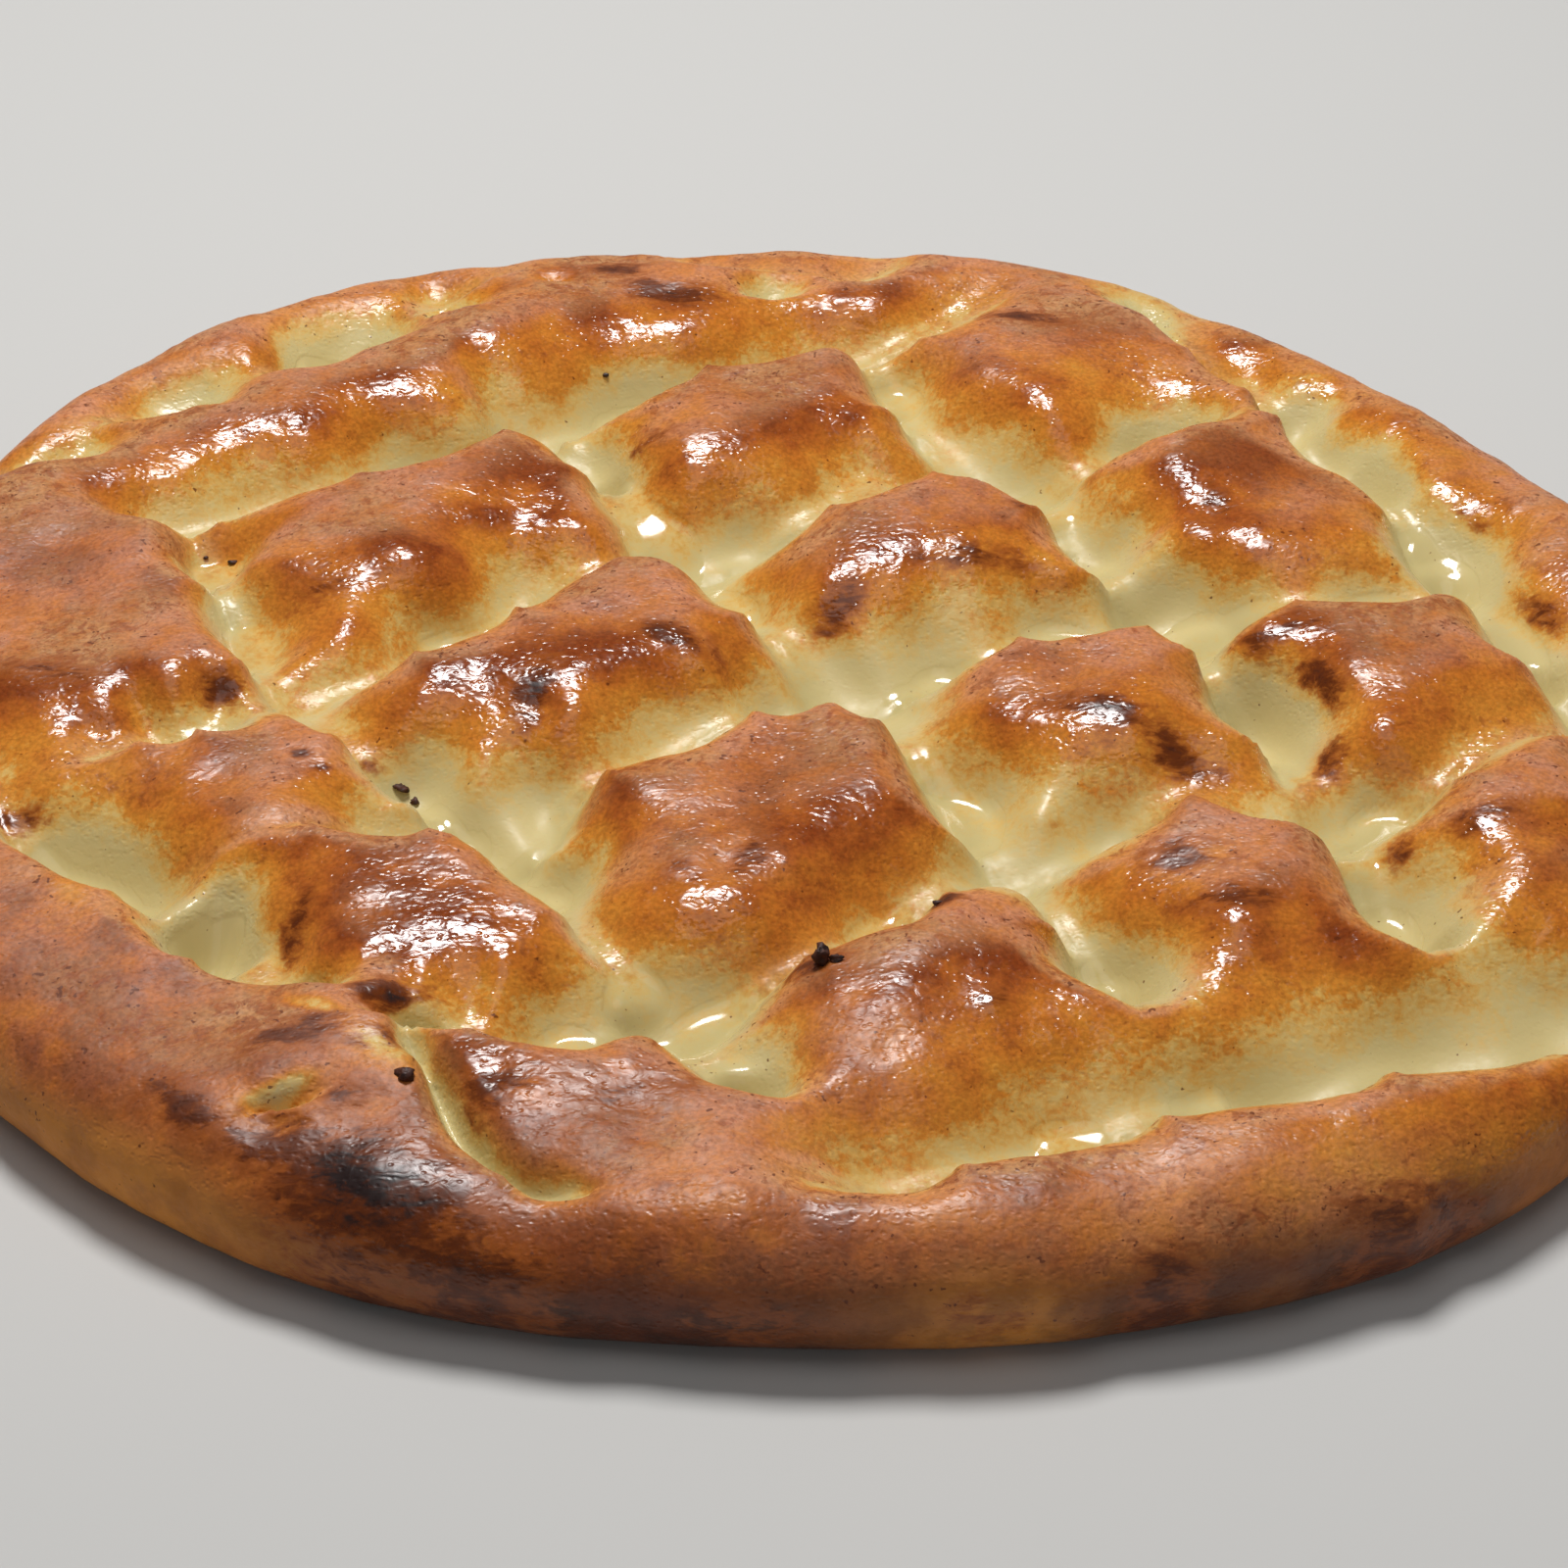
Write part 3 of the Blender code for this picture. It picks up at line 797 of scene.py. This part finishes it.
def mix_colour(tree, share, first, second, blend="MIX"):
    """Mixes two colours, each an output or a plain red, green and blue."""
    sockets = {0: share}
    for number, colour in ((6, first), (7, second)):
        sockets[number] = colour if isinstance(colour, bpy.types.NodeSocket) else (*colour, 1)
    return add_node(tree, "Mix", sockets, data_type="RGBA", blend_type=blend).outputs[2]


def mix_number(tree, share, first, second):
    """Mixes two numbers."""
    return add_node(tree, "Mix", {0: share, 2: first, 3: second}, data_type="FLOAT").outputs[0]


def colour_ramp(tree, value, stops):
    """Takes a value through colours, as (position, colour) stops."""
    made = add_node(tree, "ValToRGB", {"Fac": value})
    ramp = made.color_ramp
    while len(ramp.elements) < len(stops):
        ramp.elements.new(1.0)
    for element, (position, colour) in zip(ramp.elements, stops):
        element.position = position
        element.color = (*colour, 1)
    return made.outputs["Color"]


def shade(colour, factor):
    """A colour made darker, or lighter with a factor over 1."""
    return tuple(part * factor for part in colour)


def crust_material(look):
    """Baked and glazed dough: pale in the presses, amber on their slopes, brown on the pillows."""
    material, tree, shader = new_material("glazed_crust")
    spot = add_node(tree, "TexCoord").outputs["Object"]
    openness, crease, lip, relief = marks(tree, "openness", "crease", "lip", "relief")
    pool, scorch, far, dry_place = marks(tree, "pool", "scorch", "matte", "dry")
    side, bareness, red_shaded_wall, floury = marks(tree, "side", "bareness", "red_shaded_wall", "floury")
    wide = grain(tree, spot, WIDE_GRAIN, 3)
    patchy = grain(tree, spot, PATCH_GRAIN, 4, 0.6)
    fine = grain(tree, spot, FINE_GRAIN, 3, 0.6)

    # How brown the crust is, from the openness of the spot and mottling, with a speckled change
    browning = openness
    for cloud, low, high in ((wide, -0.17, 0.18), (patchy, -0.09, 0.09), (relief, -0.05, 0.05)):
        browning = plus(tree, browning, grade(tree, cloud, 0.2, 0.8, low, high))
    browning = times_plus(tree, lip, -0.30, browning)
    browning = times_plus(tree, bareness, -0.75, browning)
    speckled = grain(tree, spot, SPECKLE_GRAIN, 3, 0.65, 0.4)
    speckled = grade(tree, speckled, 0.36, 0.66, -0.05, 0.07)
    speckled = times(tree, speckled, grade(tree, browning, 0.08, 0.36))
    speckled = times(tree, speckled, grade(tree, browning, 0.74, 0.52))
    colour = plus(tree, browning, speckled)
    colour = colour_ramp(tree, colour, [(brown, getattr(look, name)) for brown, name in BAKING])

    # Dry tan skin where the glaze hardly reached, and painted sheen: the far side of the pillows is
    # mixed towards a paler, pinkish tan
    unbared = grade(tree, bareness, 0.1, 0.45, 1.0, 0.0)
    tan = mix_colour(tree, grade(tree, wide, 0.38, 0.62), look.tan, look.honey_and_sheen)
    tan = mix_colour(tree, grade(tree, patchy, 0.62, 0.32, 0.0, 0.75), tan, look.russet)
    dry_skin = times(tree, dry_place, grade(tree, openness, 0.4, 0.8))
    dry = reckon(tree, "MAXIMUM", far, times(tree, dry_skin, 0.50))
    dry = times(tree, dry, times_plus(tree, lip, -0.4, 0.58))
    dry = times(tree, dry, unbared)
    colour = mix_colour(tree, dry, colour, tan)

    # Brown flecks on the skin that isn't glazed
    matte = reckon(tree, "MAXIMUM", far, dry_skin)
    fleck = grain(tree, spot, FLECK_GRAIN, 5, 0.7, 0.6)
    fleck = plus(tree, fleck, grade(tree, wide, 0.3, 0.7, -0.07, 0.05))
    fleck = grade(tree, fleck, 0.50, 0.64, 0.0, 0.65)
    fleck = times(tree, fleck, times(tree, matte, unbared))
    colour = mix_colour(tree, fleck, colour, shade(look.deep, 1.2))

    # Painted shade: deep creases are mixed towards a darker, greener olive
    colour = mix_colour(tree, times(tree, crease, 0.5), colour, look.crease_shade)

    # Fine mottling and freckles of the browned skin
    freckled = plus(tree, fine, grade(tree, patchy, 0.3, 0.7, -0.15, 0.11))
    freckled = grade(tree, freckled, 0.54, 0.74)
    freckled = times(tree, freckled, grade(tree, openness, 0.45, 0.85, 0.05, 0.6))
    freckled = times(tree, freckled, unbared)
    colour = mix_colour(tree, freckled, colour, shade(look.brown, 0.75))
    tone = grade(tree, grain(tree, spot, SKIN_GRAIN, 2, 0.5), 0.3, 0.7, -0.16, 0.14)
    tone = times_plus(tree, tone, grade(tree, browning, 0.35, 0.7), 1)
    colour = mix_colour(tree, 1.0, colour, tone, "MULTIPLY")

    # The rim's wall is drier and dusty, and red-brown in places: these face the front, and their
    # near-black darks are painted shade
    patch = grain(tree, spot, WALL_GRAIN, 5, 0.65)
    dusty = (
        (0.34, look.brown), (0.46, shade(look.wall, 0.75)), (0.60, look.wall),
        (0.80, shade(look.wall, 1.35)),
    )
    shaded_red = (
        (0.36, shade(look.deep, 0.2)), (0.58, shade(look.deep, 0.65)),
        (0.78, shade(look.brown, 0.7)),
    )
    dusty, shaded_red = colour_ramp(tree, patch, dusty), colour_ramp(tree, patch, shaded_red)
    wall = mix_colour(tree, red_shaded_wall, dusty, shaded_red)
    dust = times(tree, floury, grade(tree, patchy, 0.35, 0.62, 0.45, 0.95))
    wall = mix_colour(tree, dust, wall, look.flour)
    colour = mix_colour(tree, side, colour, wall)

    # Scorched places: a red-brown halo, a dark brown middle and a black heart
    streaks = add_node(tree, "Mapping", {"Vector": spot, "Scale": (0.35, 1.0, 1.0)}).outputs[0]
    streaks = grade(tree, grain(tree, streaks, STREAK_GRAIN, 4, 0.65, 0.5), 0.3, 0.7, -0.16, 0.16)
    uneven = plus(tree, grade(tree, patchy, 0.3, 0.7, -0.13, 0.13), streaks)
    burnt = times_plus(tree, uneven, grade(tree, scorch, 0.02, 0.25), scorch)
    burnt = times(tree, burnt, grade(tree, browning, 0.36, 0.62, 0.12, 1.0))
    dark = shade(look.deep, 0.5)
    rings = (0.08, 0.40, 0.8, shade(look.brown, 0.85)), (0.30, 0.62, 0.9, dark)
    for low, high, share, tint in rings:
        ring = times(tree, grade(tree, burnt, low, high), share)
        colour = mix_colour(tree, ring, colour, tint)
    charred = grade(tree, burnt, 0.60, 1.0)
    colour = mix_colour(tree, charred, colour, look.scorch)

    # Small dark specks, more on the browned and unglazed skin
    speck = grain(tree, spot, SPECK_GRAIN, 1.5, 0.5)
    speck = times_plus(tree, matte, 0.06, speck)
    speck = plus(tree, speck, grade(tree, patchy, 0.35, 0.7, -0.05, 0.07))
    speck = times_plus(tree, grade(tree, openness, 0.3, 0.7), 0.03, speck)
    speck = times(tree, grade(tree, speck, 0.76, 0.83), 0.8)
    colour = mix_colour(tree, speck, colour, dark)
    tree.links.new(colour, shader.inputs["Base Color"])

    # Gloss
    gloss = grade(tree, openness, 0.25, 0.7)
    gloss = mix_number(tree, gloss, PRESS_ROUGHNESS, GLAZED_ROUGHNESS)
    gloss = mix_number(tree, matte, gloss, MATTE_ROUGHNESS)
    gloss = mix_number(tree, dry_skin, gloss, DRY_ROUGHNESS)
    gloss = mix_number(tree, grade(tree, pool, 0.1, 0.4), gloss, POOL_ROUGHNESS)
    wall_gloss = grade(tree, red_shaded_wall, 0.2, 0.8, WALL_ROUGHNESS, RED_WALL_ROUGHNESS)
    gloss = mix_number(tree, side, gloss, wall_gloss)
    gloss = mix_number(tree, charred, gloss, CHAR_ROUGHNESS)
    gloss = reckon(tree, "ADD", gloss, grade(tree, fine, 0.3, 0.7, -0.05, 0.06), clamp=True)
    tree.links.new(gloss, shader.inputs["Roughness"])
    shader.inputs["IOR"].default_value = GLAZE_IOR
    shader.inputs["Subsurface Weight"].default_value = 0.08
    shader.inputs["Subsurface Radius"].default_value = 1.0, 0.5, 0.2
    shader.inputs["Subsurface Scale"].default_value = 3 * MM

    # Skin wrinkles and pores, which pooled glaze fills
    stretched = add_node(tree, "Mapping", {"Vector": spot, "Scale": (0.7, 1.0, 1.0)}).outputs[0]
    wrinkle = grain(tree, stretched, WRINKLE_GRAIN, 1.5, 0.5, 0.6)
    pore = add_node(tree, "TexVoronoi", {"Vector": stretched, "Scale": PORE_GRAIN}, feature="F1")
    pore = grade(tree, pore.outputs["Distance"], 0.05, 0.40)
    height = times_plus(tree, pore, 0.30, wrinkle)
    unfilled = grade(tree, pool, 0.10, 0.4, 1.0, 0.05)
    rough = times(tree, grade(tree, openness, 0.2, 0.7, 0.25, 1.0), unfilled)
    height = times(tree, height, rough)
    bump = add_node(tree, "Bump", {"Height": height, "Strength": 1.0, "Distance": SKIN_DEPTH})
    tree.links.new(bump.outputs[0], shader.inputs["Normal"])
    return material


def char_material(look):
    """Burnt dough: black to dark brown, and rough."""
    material, tree, shader = new_material("burnt_crumb")
    patch = grain(tree, add_node(tree, "TexCoord").outputs["Object"], SPECK_GRAIN, 3)
    colour = colour_ramp(tree, patch, ((0.35, look.scorch), (0.75, shade(look.deep, 0.4))))
    tree.links.new(colour, shader.inputs["Base Color"])
    tree.links.new(grade(tree, patch, 0.3, 0.7, 0.45, 0.7), shader.inputs["Roughness"])
    bump = add_node(tree, "Bump", {"Height": patch, "Strength": 1.0, "Distance": SKIN_DEPTH})
    tree.links.new(bump.outputs[0], shader.inputs["Normal"])
    return material


# ---------------- pieces


def add_object(name, data):
    """Puts new data into the scene as an object."""
    made = bpy.data.objects.new(name, data)
    bpy.context.scene.collection.objects.link(made)
    return made


def surface_under(crust, x, y):
    """The place on the crust straight below a point, in metres, and the way it faces."""
    hit, spot, normal, _ = crust.ray_cast(Vector((x, y, 1)), Vector((0, 0, -1)))
    if not hit:
        raise RuntimeError(f"no crust under a crumb at {x:.3f}, {y:.3f}")
    return spot, normal


def crumb_mesh(name, crust, shift):
    """Small crags of burnt dough that stand on the crust."""
    draw = np.random.default_rng(CRUMB_SEED)
    bm = bmesh.new()
    for x, y, size, height in CRUMBS:
        spot, normal = surface_under(crust, x * MM + shift[0], y * MM + shift[1])
        ball = bmesh.ops.create_icosphere(bm, subdivisions=CRUMB_FINENESS, radius=size * MM / 2)
        offset = Vector(draw.uniform(-50, 50, 3))
        squeeze = Vector((draw.uniform(*CRUMB_WIDTHS), draw.uniform(*CRUMB_DEPTHS), height))
        for vertex in ball["verts"]:
            bulge = noise.fractal(vertex.co / MM * CRUMB_GRAIN + offset, 0.8, 2.2, 4)
            ragged = max(CRUMB_CORE, 1 + CRUMB_RAGGEDNESS * bulge)
            lift = normal * size * MM * CRUMB_LIFT * height
            vertex.co = vertex.co * ragged * squeeze + spot + lift
    mesh = bpy.data.meshes.new(name)
    bm.to_mesh(mesh)
    bm.free()
    mesh.shade_smooth()
    return mesh


def frame_shift():
    """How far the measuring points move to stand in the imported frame, in metres."""
    direction = np.radians(np.arange(0, FULL_TURN, 0.5))
    radius = outline_radius(direction)
    x, y = radius * np.cos(direction), radius * np.sin(direction)
    low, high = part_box(NODE)
    return (
        (low[0] + high[0]) / 2 - (x.min() + x.max()) / 2 * MM,
        (low[1] + high[1]) / 2 - (y.min() + y.max()) / 2 * MM,
    )


def floor_material(look):
    """A plain matte floor."""
    material, _, shader = new_material("studio_floor")
    shader.inputs["Base Color"].default_value = (*look.floor, 1)
    shader.inputs["Roughness"].default_value = 0.8
    return material


def aim(thing, spot):
    """Turns a light or camera to look at a place."""
    thing.rotation_mode = "QUATERNION"
    thing.rotation_quaternion = (Vector(spot) - thing.location).to_track_quat("-Z", "Y")


def add_light(name, location, size, power):
    """Hangs a round soft light that looks at the loaf."""
    data = bpy.data.lights.new(name, "AREA")
    data.shape = "DISK"
    data.size = size
    data.energy = power
    light = add_object(name, data)
    light.location = location
    aim(light, (0, 0, 0))


# ---------------- settings and operators


def height_setting(name, description, default, low, high):
    """A height that the user can change, in metres."""
    return FloatProperty(
        name=name,
        description=description,
        default=default,
        min=low,
        max=high,
        unit="LENGTH",
        subtype="DISTANCE",
    )


class PideSizes(bpy.types.PropertyGroup):
    """Sizes of the loaf"""

    pillow_top: height_setting(
        "Pillow height", "Height of the pillows in the middle of the loaf", 28 * MM, 0.015, 0.06
    )
    rim_top: height_setting("Rim height", "Height of the rim's crest", 23.5 * MM, 0.012, 0.05)
    valley_floor: height_setting(
        "Press floor", "Height of the dough left under a full finger press", 8 * MM, 0.002, 0.02
    )
    top_cells: IntProperty(
        name="Top cells",
        description="Mesh cells across the loaf's top",
        default=276,
        min=40,
        max=280,
    )


def colour_setting(name, description, default):
    """A colour that the user can change."""
    return FloatVectorProperty(
        name=name,
        description=description,
        default=default,
        min=0.0,
        max=1.0,
        subtype="COLOR",
    )


class PideLook(bpy.types.PropertyGroup):
    """Colours of the crust"""

    pale: colour_setting("Pale dough", "Dough on the floor of a press", (0.60, 0.49, 0.225))
    # crease_shade is the colour of the painted shade in the deep creases
    crease_shade: colour_setting("Olive", "Dough at the bottom of a crease", (0.43, 0.36, 0.15))
    straw: colour_setting("Straw", "Crust that has just begun to colour", (0.66, 0.46, 0.16))
    gold: colour_setting("Gold", "Crust at the top of the scoops", (0.65, 0.38, 0.095))
    amber: colour_setting("Amber", "Glazed crust on the slopes", (0.61, 0.236, 0.028))
    russet: colour_setting("Russet", "Glazed crust on the pillows", (0.53, 0.165, 0.018))
    brown: colour_setting("Brown", "Well browned crust", (0.38, 0.094, 0.013))
    deep: colour_setting("Deep brown", "The most browned crust", (0.22, 0.042, 0.006))
    # Tan and honey are dry crust's colours with painted sheen added, as on the pillows' far sides
    tan: colour_setting("Tan", "Dry crust on the far side of the pillows", (0.66, 0.31, 0.185))
    honey_and_sheen: colour_setting("Honey", "Paler dry crust", (0.72, 0.39, 0.165))
    wall: colour_setting("Wall", "Dry crust round the rim's wall", (0.54, 0.185, 0.035))
    flour: colour_setting("Flour", "Dusting of flour", (0.72, 0.275, 0.04))
    scorch: colour_setting("Scorch", "Burnt crust and crumbs", (0.020, 0.009, 0.008))
    floor: colour_setting("Floor", "Studio floor", (0.56, 0.55, 0.53))


class PIDE_OT_crust(bpy.types.Operator):
    """Bake the loaf's crust over its plain solid"""

    bl_idname = "pide.crust"
    bl_label = "Crust"

    def execute(self, context):
        mesh = loaf_mesh("crust", context.scene.pide_sizes)
        finish_crust(mesh)
        mesh.materials.append(crust_material(context.scene.pide_look))
        crust = add_object("crust", mesh)
        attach(crust, "root")
        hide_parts(NODE)
        return {"FINISHED"}


class PIDE_OT_crumbs(bpy.types.Operator):
    """Scatter burnt crumbs on the crust"""

    bl_idname = "pide.crumbs"
    bl_label = "Burnt crumbs"

    def execute(self, context):
        crust = bpy.data.objects.get("crust")
        if crust is None:
            raise RuntimeError("bake the crust first")
        mesh = crumb_mesh("burnt_crumbs", crust, frame_shift())
        mesh.materials.append(char_material(context.scene.pide_look))
        crumbs = add_object("burnt_crumbs", mesh)
        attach(crumbs, "root")
        return {"FINISHED"}


class PIDE_OT_stage(bpy.types.Operator):
    """Set a plain floor, soft lights and the camera round the loaf"""

    bl_idname = "pide.stage"
    bl_label = "Studio"

    def execute(self, context):
        scene = context.scene
        bm = bmesh.new()
        bmesh.ops.create_grid(bm, x_segments=1, y_segments=1, size=FLOOR_REACH)
        data = bpy.data.meshes.new("floor")
        bm.to_mesh(data)
        bm.free()
        data.materials.append(floor_material(scene.pide_look))
        floor = add_object("floor", data)

        world = bpy.data.worlds.new("studio")
        world.use_nodes = True
        sky = world.node_tree.nodes["Background"]
        sky.inputs["Color"].default_value = SKY_COLOUR
        sky.inputs["Strength"].default_value = SKY_STRENGTH
        scene.world = world
        for light in LIGHTS:
            add_light(*light)

        lens = bpy.data.cameras.new("camera")
        lens.sensor_width = CAMERA_SENSOR
        lens.lens = CAMERA_LENS
        camera = add_object("camera", lens)
        view = Vector((0, math.cos(CAMERA_ELEVATION), -math.sin(CAMERA_ELEVATION)))
        camera.location = CAMERA_TARGET - view * CAMERA_DISTANCE
        aim(camera, CAMERA_TARGET)
        scene.camera = camera
        scene.view_settings.view_transform = "Standard"
        return {"FINISHED"}


class PIDE_PT_bakery(bpy.types.Panel):
    """Lists the loaf's settings and pieces"""

    bl_idname = "PIDE_PT_bakery"
    bl_label = "Pide Bakery"
    bl_space_type = "VIEW_3D"
    bl_region_type = "UI"
    bl_category = "Pide"

    def draw(self, context):
        layout = self.layout
        for group in (context.scene.pide_sizes, context.scene.pide_look):
            box = layout.box()
            for name in group.__annotations__:
                box.prop(group, name)
        for operator in (PIDE_OT_crust, PIDE_OT_crumbs, PIDE_OT_stage):
            layout.operator(operator.bl_idname)


CLASSES = (PideSizes, PideLook, PIDE_OT_crust, PIDE_OT_crumbs, PIDE_OT_stage, PIDE_PT_bakery)


def register():
    """Adds the settings, operators and panel."""
    for cls in CLASSES:
        bpy.utils.register_class(cls)
    bpy.types.Scene.pide_sizes = PointerProperty(type=PideSizes)
    bpy.types.Scene.pide_look = PointerProperty(type=PideLook)


def unregister():
    """Takes away what register added."""
    del bpy.types.Scene.pide_look
    del bpy.types.Scene.pide_sizes
    for cls in reversed(CLASSES):
        bpy.utils.unregister_class(cls)


def main():
    """Builds the dressed loaf and its stage, and keeps their sizes."""
    register()
    bpy.ops.pide.crust()
    bpy.ops.pide.crumbs()
    bpy.ops.pide.stage()


if __name__ == "__main__":
    main()
